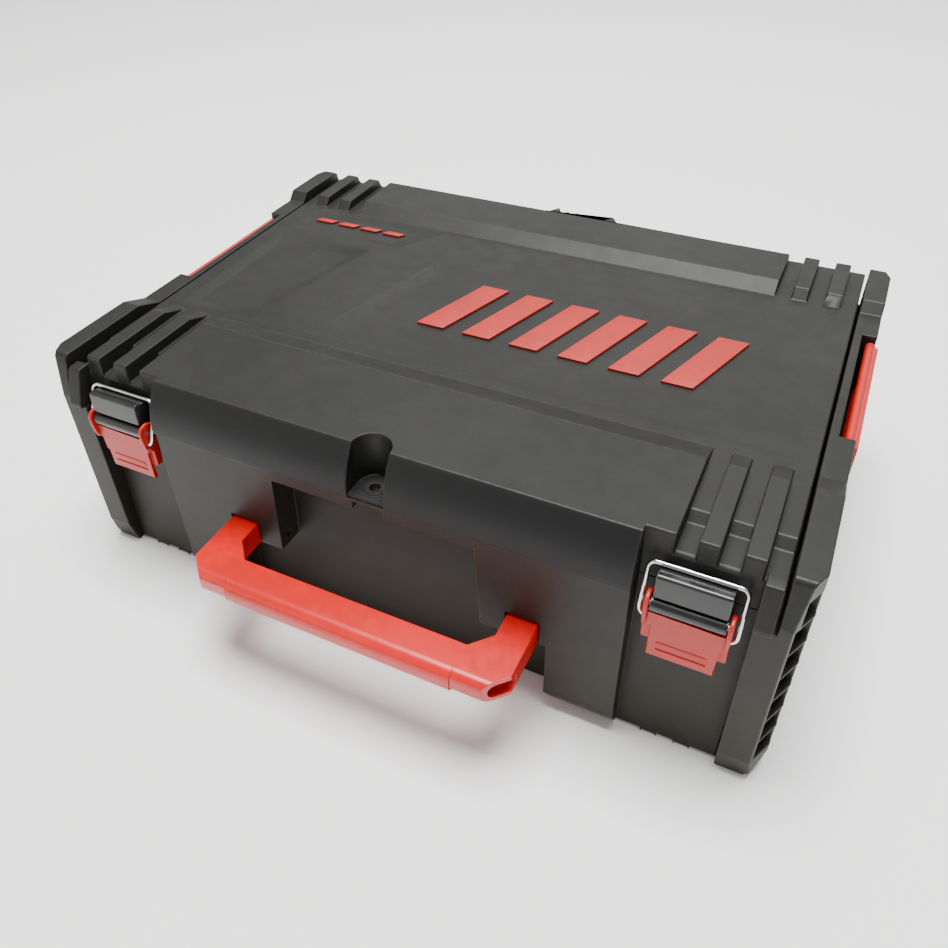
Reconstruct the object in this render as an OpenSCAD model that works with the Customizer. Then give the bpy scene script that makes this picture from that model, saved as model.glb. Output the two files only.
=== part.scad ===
// Hard tool case: a moulded base between two full-height end bumpers, a lid that closes between
// them, two wire bail latches, a folding front handle and a stacking latch on each end.
// Millimetres. X runs along the width, the front faces -Y, +Z is up.
// Origin: on the ground, under the middle of the body.

/* [Case] */
// Width over the end bumpers
case_w = 480; // [450:1:560]
// Depth from the lid's front bumper to the hinge
case_d = 350; // [330:1:420]
// Height to the raised pads of the lid
case_h = 160.5; // [150:0.5:190]
// Height of the closed lid, down to the line where it meets the base
lid_h = 33.5; // [32:0.5:38]
// Wall thickness of the mouldings
wall = 3; // [2.4:0.1:3.6]
// Gap between lid and base at that line
seam = 0.4; // [0.3:0.1:0.8]

/* [End bumpers] */
// Thickness of a bumper across the width
bumper_t = 14.4; // [13:0.1:18]
// Width of the part that turns in beside the latch bay
return_w = 11.2; // [9:0.1:14]
// Corner chamfer, across the width
corner_x = 7.7; // [5:0.1:9]
// Corner chamfer, along the depth
corner_y = 16.4; // [12:0.1:18]
// Open cells up each corner
cell_count = 7; // [4:1:9]
// Web between two cells
cell_web = 2; // [1.5:0.1:3]
// Depth of a cell from the front edge
cell_depth = 19.4; // [18:0.1:24]
// Height of the slope at the foot
foot_h = 19; // [12:1:24]
// How far that slope runs back under the bumper
foot_run = 4.4; // [3:0.1:8]
// How far the foot slopes in from the outer side
side_run = 9; // [4:0.5:10]
// How far the front of a bumper leans back above the latches
cheek_lean = 6; // [4:0.5:9]

/* [Lid] */
// Gap between the lid and a bumper
lid_gap = 1.9; // [1.2:0.1:3]
// Height of the raised pads over the lid's deck
pad_h = 7; // [5:0.5:9]
// How far the slope at the back of the front pads runs
front_run = 19; // [8:0.5:24]
// How far the slope at the front of the rear pads runs
rear_run = 7; // [5:0.5:16]
// How far the long raised pads reach past the latch bays' inner walls
pad_over = 15.4; // [12:0.1:18]
// Depth of the flat top of the front pad
front_pad_d = 66; // [50:1:75]
// Depth of the flat top of the rear pad
rear_pad_d = 47; // [40:1:60]
// Width of a corner rib
rib_w = 10.4; // [7:0.2:12]
// Distance between the middles of the two corner ribs
rib_pitch = 21.8; // [18:0.2:24]
// Depth of the pressed panels in the deck
panel_sink = 2; // [1:0.1:2.4]
// Width of the padlock notch
notch_w = 24; // [20:1:30]
// Diameter of the padlock hole
padlock_d = 6.6; // [5:0.1:9]
// How far the inlaid stripes stand out of the deck
inlay_proud = 0.6; // [0.3:0.1:1]

/* [Front] */
// Width of a latch bay
bay_w = 60; // [58:1:66]
// Depth of a latch bay behind the lid's front bumper
bay_d = 16; // [15:0.5:20]
// How far the base's front panel lies behind the lid's bumper
panel_back = 2; // [1:0.5:4]
// Width of the finger recess at the top
finger_w = 134; // [110:1:140]
// Room beside the folded handle in its recess
stow_room = 5; // [4:0.5:10]
// Height of the ledge over the finger recess
ledge_h = 8.6; // [6:0.1:12]

/* [Handle] */
// Height of the handle's pivot
handle_z = 66; // [60:1:76]
// Reach of the handle from its pivot
handle_reach = 59; // [54:1:60]
// Width over the handle's arms
handle_w = 212; // [190:1:216]
// Width of an arm
arm_w = 19.2; // [16:0.2:24]
// Thickness of the handle
handle_t = 16; // [14:0.5:17]
// Depth of the grip bar
bar_d = 22.5; // [18:0.5:26]
// Length of the raised grip
grip_l = 150; // [110:1:160]
// How far the raised grip stands out
grip_proud = 1.2; // [0.6:0.1:1.6]
// Diameter of the handle's pins
handle_pin_d = 5; // [4:0.5:6]
// Radial play of a turning part on its pin
pin_play = 0.06; // [0.03:0.01:0.1]

/* [Latches] */
// Width over a latch lever
lever_w = 44.4; // [42:0.2:46]
// Height of the lever from its pivot down to its tip
lever_drop = 39.5; // [36:0.5:44]
// Thickness of a lever's arm
lever_arm_t = 2.4; // [2:0.1:3]
// Diameter of the black bar that the lever turns on
bar_dia = 8.4; // [7:0.1:9]
// Diameter of the bail wire
wire_d = 2.5; // [2:0.1:3]
// Width of the bail between wire centres
bail_w = 49.3; // [48.6:0.1:52]
// Length of the bail from its pivot
bail_l = 30.2; // [29.8:0.1:31]
// Width of the keeper on the lid
keeper_w = 37.6; // [30:0.2:38]
// Air between the bail and the keeper
keeper_gap = 0.35; // [0.3:0.05:0.8]

/* [Stacking latches] */
// Length of a stacking latch
stack_l = 112; // [80:1:120]
// Middle of a stacking latch along the depth
stack_y = 19; // [0:1:24]
// Height of a stacking latch
stack_h = 42; // [30:1:50]
// How far it stands out of the bumper
stack_proud = 2.4; // [1:0.1:3]

/* [Hinge] */
// Middle of a hinge, from the end of the tub
hinge_in = 95; // [60:1:110]
// Diameter of a hinge knuckle
knuckle_d = 8; // [7:0.5:9]
// Length of a knuckle
knuckle_l = 14; // [10:1:20]
// Diameter of the hinge pins
hinge_pin_d = 3; // [2.5:0.1:4]

/* [Hidden] */
$fn = 48;
cut = 1;              // how far a cutting body passes through a face

charcoal = "#3a3a38";
black = "#1d1e1f";
red = "#d6301f";
steel = "#c9ccce";

// Planes of the body
front_y = -case_d / 2;
hinge_y = case_d / 2 - knuckle_d / 2;
rear_y = case_d / 2 - knuckle_d - 1;
bay_y = front_y + bay_d;
panel_y = front_y + panel_back;
cheek_y = -front_y - 4;
tub_hw = case_w / 2 - bumper_t;
lid_hw = tub_hw - lid_gap;
horn_x = tub_hw - return_w;
bay_x = horn_x - bay_w / 2;
crown_hw = horn_x - bay_w;
hinge_x = tub_hw - hinge_in;
part_z = case_h - lid_h;
lid_z = part_z + seam;
deck_z = case_h - pad_h;
rim_h = 4;            // flange round the mouth of the base
rim_w = 7;
lip_h = 3;            // lip that keeps the lid in place
lip_t = 1.5;
under_h = 2;          // the underside is higher along its front and rear
bay_draft = 4;        // the back of a latch bay comes forward towards the foot

// Lid profile
plateau_hw = crown_hw + pad_over;
rib_gap = 1.4;        // between the outer rib and the horn
rib_x = horn_x - rib_gap - rib_w / 2 - rib_pitch;
crown_d = 12.4;       // how far the lid's front bumper curves back
front_pad_y = front_y + crown_d;
front_pad_end = front_pad_y + front_pad_d;
rear_pad_end = rear_y - 8;
rear_pad_y = rear_pad_end - rear_pad_d;
deck_front = front_pad_end + front_run;
deck_rear = rear_pad_y - rear_run;
step_drop = 5;        // the grooves step down towards the latch bay
step_y = front_pad_end - 39;
plateau_back = 5;     // the long rear pad slopes up over a longer run than the ribs
mouth_back = rear_y - 5;
notch_hw = notch_w / 2;

// Handle
pivot_y = panel_y + handle_t / 2 + 1;
stow_y = pivot_y + handle_t / 2 + grip_proud + 0.8;
stow_w = handle_w + 2 * stow_room;
cavity_front = stow_y + wall;
stow_z = handle_z - handle_t / 2;
slot_gap = 0.6;
handle_hw = handle_w / 2;
arm_in = handle_hw - arm_w;
bar_y = pivot_y - handle_reach;

// Latch: the lever turns on the black bar, the bail turns in the lever's arms
lever_y = front_y + 3;
lever_z = part_z - 4;
bail_dy = -1.8;
bail_dz = -8;
bail_y = lever_y + bail_dy;
bail_z = lever_z + bail_dz;
bail_lean = 20.1;     // lean of the closed bail, towards the lid
catch_y = bail_y + bail_l * sin(bail_lean);
catch_z = bail_z + bail_l * cos(bail_lean);
lever_hw = lever_w / 2;
arm_face = lever_hw - lever_arm_t;
bar_l = 2 * (arm_face - 0.6);
latch_pin_d = 3;
screw_x = keeper_w * 0.29;
plate_top = bar_dia / 2 + 1.2;   // the plate starts under the black bar

// Stacking latch
stack_x = case_w / 2 - 2.6;
stack_z = deck_z - 7;
stack_barrel_d = 6.4;
stack_pin_d = 3;
stack_room = 1.5;     // room between the latch and its pocket

// A profile in Y and Z, run along X from x0 to x1
module along_x(x0, x1, profile) {
  translate([x0, 0, 0])
    rotate([90, 0, 90])
      linear_extrude(x1 - x0)
        polygon(profile);
}

// The same on both ends of the case
module both_ends() {
  children();
  mirror([1, 0, 0]) children();
}

// A rod along X
module rod(x0, x1, d, y, z) {
  translate([x0, y, z])
    rotate([0, 90, 0])
      cylinder(h = x1 - x0, d = d);
}

// A rod along Y
module rod_y(y0, y1, d, x, z) {
  translate([x, y0, z])
    rotate([-90, 0, 0])
      cylinder(h = y1 - y0, d = d);
}

module box(x0, x1, y0, y1, z0, z1) {
  translate([x0, y0, z0])
    cube([x1 - x0, y1 - y0, z1 - z0]);
}

// ---- base ----

// Outline of the tub in plan, stepped round the latch bays
function tub_plan() = [
  [-tub_hw, bay_y], [-crown_hw, bay_y], [-crown_hw, panel_y],
  [crown_hw, panel_y], [crown_hw, bay_y], [tub_hw, bay_y],
  [tub_hw, rear_y], [-tub_hw, rear_y]
];

// Side profile of the front panel, with the slope under it
function panel_slope() = [
  [panel_y - cut, -cut], [bay_y, -cut], [bay_y, under_h], [panel_y + 8, under_h],
  [panel_y, under_h + 13], [panel_y - cut, under_h + 13]
];

module base_mass() {
  linear_extrude(part_z) polygon(tub_plan());
  lip(tub_hw - rim_w, mouth_back);
  both_ends()
    along_x(crown_hw - 1, horn_x, [
      [bay_y - bay_draft, under_h], [bay_y + 1, under_h], [bay_y + 1, lever_z - 20], [bay_y, lever_z - 20]
    ]);
}

// Lip round the mouth, inside the lid's walls
module lip(hw, back) {
  top = part_z + lip_h;
  both_ends() {
    box(hw, hw + lip_t, cavity_front - lip_t, back + lip_t, part_z, top);
    box(crown_hw, hw + lip_t, cavity_front - lip_t, cavity_front, part_z, top);
    box(notch_hw + wall + 1, finger_w / 2, cavity_front - lip_t, cavity_front, part_z, top);
  }
  box(-hw, hw, back, back + lip_t, part_z, top);
}

module base_cavity() {
  top = part_z + lip_h + cut;
  floor_z = under_h + wall;
  side = tub_hw - rim_w;
  box(-side, side, cavity_front, mouth_back, floor_z, top);
  box(-tub_hw + wall, tub_hw - wall, cavity_front, rear_y - wall, floor_z, part_z - rim_h);
  // the middle of the floor lies lower
  box(-tub_hw + wall, tub_hw - wall, deck_front + wall + 1, deck_rear - wall - 1, wall, floor_z + cut);
  for (s = [-1, 1]) {
    // hollow of the front panel beside the finger recess
    x_in = finger_w / 2 + wall + 3;
    x_low = stow_w / 2 + wall;
    x_out = crown_hw - wall;
    z_low = stow_z + handle_t + 2 + wall;
    box(min(s * x_in, s * x_out), max(s * x_in, s * x_out),
        panel_y + wall, cavity_front + cut, z_low, top);
    box(min(s * x_low, s * x_out), max(s * x_low, s * x_out),
        panel_y + wall, cavity_front + cut, under_h + 13 + wall, top);
  }
}

// The underside is cut back along its front and rear, to sit between the raised pads of a lid
module base_underside() {
  box(-tub_hw - cut, tub_hw + cut, front_y - cut, deck_front + 1, -cut, under_h);
  box(-tub_hw - cut, tub_hw + cut, deck_rear - 1, rear_y + cut, -cut, under_h);
}

// Runners that match the grooves of the lid
module base_runners() {
  for (s = [-1, 1], i = [0, 1]) {
    x = s * (rib_x - rib_pitch / 2 - 0.5 + i * (rib_pitch - 2));
    for (y = [[bay_y - bay_draft - 0.5, step_y], [rear_pad_end - 30, rear_pad_end]])
      along_x(x - 4.5, x + 4.5, [
        [y[0] + 1, under_h + 3], [y[0], 1.5], [y[0] + 1.5, 0], [y[1] - 3, 0], [y[1], under_h + 0.5]
      ]);
  }
}

module handle_recess() {
  top_z = part_z - ledge_h;
  hw = finger_w / 2;
  // finger recess, a little wider at the bottom
  translate([0, stow_y, 0])
    rotate([90, 0, 0])
      linear_extrude(stow_y - panel_y + cut)
        polygon([[-hw - 3, stow_z - cut], [hw + 3, stow_z - cut], [hw, top_z], [-hw, top_z]]);
  // stowage for the folded handle
  box(-stow_w / 2, stow_w / 2, panel_y - cut, stow_y, -cut, stow_z);
  // slots for the arms
  for (s = [-1, 1])
    translate([s * (arm_in + arm_w / 2), 0, 0])
      box(-arm_w / 2 - slot_gap, arm_w / 2 + slot_gap, panel_y - cut, stow_y,
          stow_z - cut, handle_z + handle_t / 2 + 2);
}

// Relief in the ledge, where a padlock's shackle passes
module ledge_gap() {
  box(-notch_w / 2 + 2, notch_w / 2 - 2, panel_y - cut, stow_y,
      part_z - ledge_h - cut, part_z - wall);
}

function knuckle_starts() = [-2, -1, 0, 1, 2];

// Knuckles of one hinge: which = 0 for the base's, 1 for the lid's
module knuckles(which, pad_z0, pad_z1) {
  for (s = [-1, 1], i = knuckle_starts())
    if (abs(i) % 2 == which) {
      x0 = s * hinge_x + (i - 0.5) * knuckle_l + 0.3;
      x1 = x0 + knuckle_l - 0.6;
      rod(x0, x1, knuckle_d, hinge_y, part_z);
      box(x0, x1, rear_y - 1, hinge_y, min(pad_z0, pad_z1), max(pad_z0, pad_z1));
    }
}

module hinge_bores(d) {
  half = 2.5 * knuckle_l + cut;
  for (s = [-1, 1])
    rod(s * hinge_x - half, s * hinge_x + half, d, hinge_y, part_z);
}

module base_shell() {
  color(charcoal)
    difference() {
      union() {
        difference() {
          base_mass();
          base_cavity();
          along_x(-crown_hw - cut, crown_hw + cut, panel_slope());
          base_underside();
        }
        base_runners();
        knuckles(0, part_z - 12, part_z);
      }
      handle_recess();
      ledge_gap();
      translate([0, front_pad_y, part_z - ledge_h - cut])
        cylinder(h = ledge_h + 2 * cut, d = padlock_d);
      hinge_bores(hinge_pin_d);
      rod(-stow_w / 2 - 2, stow_w / 2 + 2, handle_pin_d, pivot_y, handle_z);
      bracket_screw_holes();
      bumper_screw_holes();
    }
}

// ---- end bumpers ----

function cheek_front() = [
  [-cheek_y + foot_run, 0], [-cheek_y, foot_h], [-cheek_y, part_z + 5], [-cheek_y + cheek_lean, case_h - 2],
  [-cheek_y + cheek_lean + 3, case_h]
];

function cheek_profile() = concat(
  [for (p = cheek_front()) p],
  [[front_pad_end, case_h], [deck_front, deck_z], [deck_rear, deck_z], [rear_pad_y, case_h]],
  [for (i = [4:-1:0]) let (p = cheek_front()[i]) [rear_y - cheek_y - p[0], p[1]]]
);

// Where a bumper ends: side -1 for its front, 1 for its rear
function cheek_end(side) = side < 0 ? -cheek_y : rear_y;

module corner_cuts(x_out) {
  for (s = [-1, 1]) {
    y = cheek_end(s);
    linear_extrude(case_h * 3, center = true)
      polygon([
        [x_out - corner_x, y + s * cut], [x_out - corner_x, y], [x_out, y - s * corner_y],
        [x_out + cut, y - s * corner_y], [x_out + cut, y + s * cut]
      ]);
  }
}

// The foot slopes in along the outer side as well
module side_foot_cut(x_out) {
  slope_h = foot_h * 0.75;
  rotate([90, 0, 0])
    linear_extrude(case_d * 2, center = true)
      polygon([
        [x_out - side_run, -cut], [x_out - side_run, 0], [x_out, slope_h], [x_out + cut, slope_h],
        [x_out + cut, -cut]
      ]);
}

// How far the front of a bumper has leant back at a height
function lean_at(z) = cheek_lean * max(0, z - part_z - 5) / (case_h - part_z - 7);

module corner_cells(x_out) {
  z0 = foot_h;
  pitch = (case_h - 12 - z0) / cell_count;
  x_in = x_out - corner_x - 3.4;
  for (s = [-1, 1], i = [0:cell_count - 1]) {
    z1 = z0 + (i + 1) * pitch;
    y0 = cheek_end(s) - s * (2.5 + lean_at(z1));
    y1 = cheek_end(s) - s * cell_depth;
    box(x_in, x_out + cut, min(y0, y1), max(y0, y1), z0 + i * pitch + cell_web, z1);
  }
}

module bumper() {
  x_out = case_w / 2;
  difference() {
    union() {
      along_x(tub_hw, x_out, cheek_profile());
      difference() {
        intersection() {
          along_x(horn_x, tub_hw, cheek_profile());
          box(horn_x - cut, tub_hw + cut, -case_d, case_d, -cut, part_z);
        }
        box(horn_x - cut, tub_hw + cut, bay_y, rear_y, -2 * cut, part_z + cut);
      }
    }
    corner_cuts(x_out);
    corner_cells(x_out);
    side_foot_cut(x_out);
    stack_pocket();
    bumper_hollow();
  }
}

// Hollows on the hidden side of a bumper, with ribs at the screws
module bumper_hollow() {
  rib_half = 5;
  front = -cheek_y + cell_depth + wall;
  rear = rear_y - cell_depth - wall;
  stops = concat([front - rib_half], screw_ys, [rear + rib_half]);
  for (i = [0:len(stops) - 2])
    box(tub_hw - cut, case_w / 2 - wall, stops[i] + rib_half, stops[i + 1] - rib_half,
        foot_h + wall, stack_z - stack_h - stack_room - wall);
}

module bumper_at(side) {
  color(charcoal)
    difference() {
      mirror([side < 0 ? 1 : 0, 0, 0]) bumper();
      bumper_screw_holes();
    }
}

module bumper_left() { bumper_at(-1); }
module bumper_right() { bumper_at(1); }

screw_ys = [-120, -40, 40, 120];

function bumper_screw_spots() = [for (y = screw_ys, z = [40, 95]) [y, z]];

module bumper_screw_holes() {
  for (s = [-1, 1], p = bumper_screw_spots())
    rod(min(s * (tub_hw - wall - cut), s * (tub_hw + 5)),
        max(s * (tub_hw - wall - cut), s * (tub_hw + 5)), 3, p[0], p[1]);
}

module bumper_screws() {
  x_head = tub_hw - wall;
  color(steel)
    for (s = [-1, 1], p = bumper_screw_spots()) {
      rod(min(s * x_head, s * (x_head + 7)), max(s * x_head, s * (x_head + 7)), 3, p[0], p[1]);
      rod(min(s * (x_head - 1.6), s * x_head), max(s * (x_head - 1.6), s * x_head), 6, p[0], p[1]);
    }
}

// ---- lid ----

// Front bumper of the lid: an arc from the edge of the pad down to the seam
function crown_arc(steps) =
  let (h = case_h - lid_z, r = (h * h + crown_d * crown_d) / (2 * crown_d))
  [for (i = [0:steps]) let (a = asin(h / r) * i / steps)
    [front_y + r - r * cos(a), lid_z + r * sin(a)]];

function deck_profile() = [
  [bay_y, lid_z], [bay_y, deck_z - step_drop - 1.5], [bay_y + 2, deck_z - step_drop],
  [step_y, deck_z - step_drop], [step_y + 6, deck_z], [rear_y - 4, deck_z],
  [rear_y, deck_z - 5], [rear_y, lid_z]
];

function rib_profile() = [
  [bay_y, lid_z], [bay_y, case_h - 1.5], [bay_y + 1, case_h], [front_pad_end, case_h],
  [deck_front, deck_z], [deck_front, lid_z]
];

function rear_profile(back) = [
  [deck_rear, lid_z], [deck_rear, deck_z], [rear_pad_y + back, case_h],
  [rear_pad_end, case_h], [rear_y, case_h - 14], [rear_y, lid_z]
];

// The horn runs up in front of the outer corner of the lid
function horn_profile() = [
  [bay_y + cut, lid_z], [front_y + 0.5, lid_z], [front_y + 0.5, lid_z + 3], [front_y + 8, deck_z - 1],
  [front_y + 9.5, deck_z], [bay_y + cut, deck_z]
];

module lid_mass() {
  along_x(-lid_hw, lid_hw, deck_profile());
  along_x(-plateau_hw, plateau_hw, rib_profile());
  along_x(-plateau_hw, plateau_hw, rear_profile(plateau_back));
  along_x(-crown_hw, crown_hw, concat(crown_arc(10), [[bay_y + wall, case_h], [bay_y + wall, lid_z]]));
  both_ends() {
    along_x(horn_x, lid_hw, horn_profile());
    for (i = [0, 1]) {
      x = rib_x + i * rib_pitch;
      along_x(x - rib_w / 2, x + rib_w / 2, rib_profile());
      along_x(x - rib_w / 2, x + rib_w / 2, rear_profile(0));
    }
  }
}

module lid_cavity() {
  top = deck_z - wall - panel_sink;
  box(-lid_hw + wall, lid_hw - wall, bay_y + wall, rear_y - wall, lid_z - cut, deck_z - wall - step_drop);
  box(-lid_hw + wall, lid_hw - wall, step_y + 8, rear_y - wall, lid_z - cut, top);
  box(-plateau_hw + wall, plateau_hw - wall, bay_y + wall, front_pad_end - wall,
      lid_z - cut, case_h - wall);
  both_ends() along_x(notch_hw + wall, crown_hw - wall, crown_hollow(8));
  box(-plateau_hw + wall, plateau_hw - wall, rear_pad_y + plateau_back + wall, rear_pad_end - 4,
      lid_z - cut, case_h - wall);
}

// Hollow behind the lid's front bumper
function crown_hollow(steps) =
  let (h = case_h - lid_z, r = (h * h + crown_d * crown_d) / (2 * crown_d), ri = r - wall)
  concat(
    [[front_y + wall, lid_z - cut]],
    [for (i = [0:steps]) let (a = asin((h - wall) / ri) * i / steps)
      [front_y + r - ri * cos(a), lid_z + ri * sin(a)]],
    [[bay_y + wall + cut, case_h - wall], [bay_y + wall + cut, lid_z - cut]]
  );

// Wall round the padlock notch
module notch_wall() {
  intersection() {
    translate([0, front_pad_y, lid_z])
      cylinder(h = case_h - lid_z - cut, d = notch_w + 2 * wall);
    box(-notch_w, notch_w, front_pad_y, 0, lid_z, case_h);
  }
}

module padlock_notch() {
  floor_z = lid_z + 2.4;
  difference() {
    union() {
      box(-notch_w / 2, notch_w / 2, front_y - cut, front_pad_y, floor_z, case_h + cut);
      translate([0, front_pad_y, floor_z])
        cylinder(h = case_h, d = notch_w);
    }
    translate([0, front_pad_y, floor_z])
      cylinder(h = 0.8, d = padlock_d * 2);
  }
  // the floor of the notch stops short of the curved front
  box(-notch_w / 2, notch_w / 2, front_y - cut, front_y + 2, lid_z - cut, case_h + cut);
  translate([0, front_pad_y, lid_z - cut])
    cylinder(h = case_h, d = padlock_d);
}

// Everything above a plane that falls by the panel's depth over a given width, from one edge inwards
module above_slope(from, to, slope_w) {
  reach = case_w * 2;
  translate([from[0], from[1], deck_z])
    rotate([0, 0, atan2(to[1] - from[1], to[0] - from[0])])
      rotate([atan(slope_w / panel_sink), 0, 0])
        translate([-reach, 0, -reach])
          cube([2 * reach, reach, 2 * reach]);
}

// A shallow panel pressed into the deck. Corners run anticlockwise, and each edge has its slope's width
module pressed_panel(corners, slopes) {
  last = len(corners) - 1;
  intersection() {
    above_slope(corners[0], corners[1], slopes[0]);
    above_slope(corners[1], corners[2], slopes[1]);
    above_slope(corners[2], corners[last], slopes[2]);
    above_slope(corners[last], corners[0], slopes[last]);
    box(-lid_hw, lid_hw, bay_y, rear_y, deck_z - panel_sink, deck_z + cut / 2);
  }
}

panel_front = deck_front + 8;
panel_rear = deck_rear - 2;
panel_split = panel_front + 0.7 * (panel_rear - panel_front);

module pressed_panels() {
  hw = lid_hw - 12;
  // small panel on the left
  pressed_panel([[-hw, panel_front], [-0.68 * lid_hw, panel_front], [-0.57 * lid_hw, panel_split],
                 [-hw, panel_split]], [7, 9, 10, 9]);
  // large panel on the right, running out towards the lid's edge
  pressed_panel([[-0.465 * lid_hw, panel_front], [hw, panel_front], [hw, panel_rear],
                 [-0.32 * lid_hw, panel_split - 4]], [7, 14, 13, 12]);
  // narrow panel at the left rear
  pressed_panel([[-hw, panel_split + 14], [-0.475 * lid_hw, panel_split + 14],
                 [-0.375 * lid_hw, panel_rear], [-hw + 8, panel_rear]], [6, 14, 6, 7]);
}

// Half of the fins on the rear edge of the lid, in plan: two tall ones outside four short ones
fin_x = 7.5;
fin_h = 10.5;
function fin_half() = [
  [0, -2], [0, 0.9], [6, 6.1], [9.7, 2.4], [13.6, 6], [18, 2], [23, 10.4], [30, 0], [30, -2]
];

module rear_fins() {
  translate([fin_x, rear_pad_end, case_h - fin_h - 0.5])
    linear_extrude(fin_h)
      union() {
        polygon(fin_half());
        mirror([1, 0]) polygon(fin_half());
      }
}

module lid_shell() {
  color(charcoal)
    difference() {
      union() {
        difference() {
          lid_mass();
          lid_cavity();
        }
        notch_wall();
        rear_fins();
        knuckles(1, part_z, part_z + 12);
      }
      both_ends()
        box(crown_hw, horn_x, front_y - cut, bay_y, lid_z - cut, case_h + cut);
      padlock_notch();
      pressed_panels();
      hinge_bores(hinge_pin_d + 2 * pin_play);
      keeper_screw_holes();
      lid_cutback();
    }
}

// The lid's skirt keeps clear of the base's lip and of the hinge
module lid_cutback() {
  box(-lid_hw - cut, lid_hw + cut, rear_y, rear_y + knuckle_d * 2, part_z - 20, part_z - knuckle_d / 2 - cut);
}

// ---- inlaid stripes: two plain sets of slanted bars ----

module slanted_bar(x, y, w, d, slant) {
  translate([x, y, deck_z - panel_sink])
    linear_extrude(panel_sink * 0.5 + inlay_proud)
      polygon([[0, 0], [w, 0], [w + slant, d], [slant, d]]);
}

stripe_pitch = lid_hw * 0.152;
stripe_w = stripe_pitch * 0.59;
stripe_d = (panel_rear - panel_front) * 0.37;
dash_pitch = lid_hw * 0.094;
dash_w = dash_pitch * 0.71;
dash_d = 5;

module lid_stripes() {
  color(red) {
    for (i = [0:5])
      slanted_bar(-0.2 * lid_hw + i * stripe_pitch, panel_front + stripe_d * 0.68, stripe_w, stripe_d, stripe_d / 3);
  }
}

module lid_dashes() {
  color(red)
    for (i = [0:3])
      slanted_bar(-0.885 * lid_hw + i * dash_pitch, panel_rear - 4 * dash_d, dash_w, dash_d, dash_d * 0.8);
}

// ---- keepers ----

// Side profile of a keeper: the bail lies behind its crest, and its top falls away under the bail's path
function keeper_profile() = [
  [bay_y, lid_z + 1.5], [front_y + 0.8, lid_z + 1.5], [catch_y - 10.2, catch_z - 1.2],
  [catch_y - 9.2, catch_z + 0.1], [catch_y - 7.4, catch_z + 0.6],
  [catch_y + 1, catch_z - wire_d / 2 - keeper_gap - 0.7], [bay_y, catch_z - wire_d / 2 - 2.6]
];

module keeper_at(side) {
  color(black)
    difference() {
      along_x(side * bay_x - keeper_w / 2, side * bay_x + keeper_w / 2, keeper_profile());
      keeper_screw_holes();
    }
}

module keeper_left() { keeper_at(-1); }
module keeper_right() { keeper_at(1); }

module keeper_screw_holes() {
  for (s = [-1, 1], dx = [-screw_x, screw_x])
    rod_y(bay_y - 8, bay_y + wall + cut, 3, s * bay_x + dx, part_z + 9);
}

module keeper_screws() {
  color(steel)
    for (s = [-1, 1], dx = [-screw_x, screw_x]) {
      rod_y(bay_y - 8, bay_y + wall, 3, s * bay_x + dx, part_z + 9);
      rod_y(bay_y + wall, bay_y + wall + 1.6, 6, s * bay_x + dx, part_z + 9);
    }
}

// ---- latch brackets ----

module latch_bracket_at(side) {
  x = side * bay_x;
  color(black)
    difference() {
      union() {
        rod(x - bar_l / 2, x + bar_l / 2, bar_dia, lever_y, lever_z);
        along_x(x - bar_l / 2, x + bar_l / 2, [
          [lever_y, lever_z - bar_dia / 2], [bay_y, lever_z - bar_dia / 2 - 8],
          [bay_y, lever_z + 1], [lever_y, lever_z + 1]
        ]);
      }
      rod(x - bar_l, x + bar_l, latch_pin_d + 2 * pin_play, lever_y, lever_z);
      bracket_screw_holes();
    }
}

module latch_bracket_left() { latch_bracket_at(-1); }
module latch_bracket_right() { latch_bracket_at(1); }

bracket_screw_z = lever_z - 6;

module bracket_screw_holes() {
  for (s = [-1, 1], dx = [-screw_x, screw_x])
    rod_y(bay_y - 6, cavity_front + cut, 3, s * bay_x + dx, bracket_screw_z);
}

module bracket_screws() {
  color(steel)
    for (s = [-1, 1], dx = [-screw_x, screw_x]) {
      rod_y(bay_y - 6, cavity_front, 3, s * bay_x + dx, bracket_screw_z);
      rod_y(cavity_front, cavity_front + 1.6, 6, s * bay_x + dx, bracket_screw_z);
    }
}

// ---- latch levers ----

// Side profile of a lever's arm: round about the pin, and set back below the shoulder of the plate
function arm_profile() = [
  [lever_y + 5.2, lever_z - 27.5], [lever_y + 6.6, lever_z - 9], [lever_y + 6.4, lever_z + 1.5],
  [lever_y + 4.4, lever_z + 5.6], [lever_y + 0.6, lever_z + 7.2], [lever_y - 3.6, lever_z + 6.2],
  [lever_y - 6, lever_z + 2.8], [lever_y - 5.8, lever_z - 3], [lever_y - 4.9, lever_z - 9.5],
  [lever_y - 3.2, lever_z - 14], [lever_y + 1.2, lever_z - 15.4], [lever_y + 1.8, lever_z - 27.5]
];

// Side profile of the plate that the thumb lifts
function plate_profile() = [
  [lever_y + 0.3, lever_z - plate_top], [lever_y - 2.3, lever_z - plate_top],
  [lever_y - 1.3, lever_z - lever_drop + 1.2], [lever_y - 0.1, lever_z - lever_drop],
  [lever_y + 1.3, lever_z - lever_drop]
];

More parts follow.
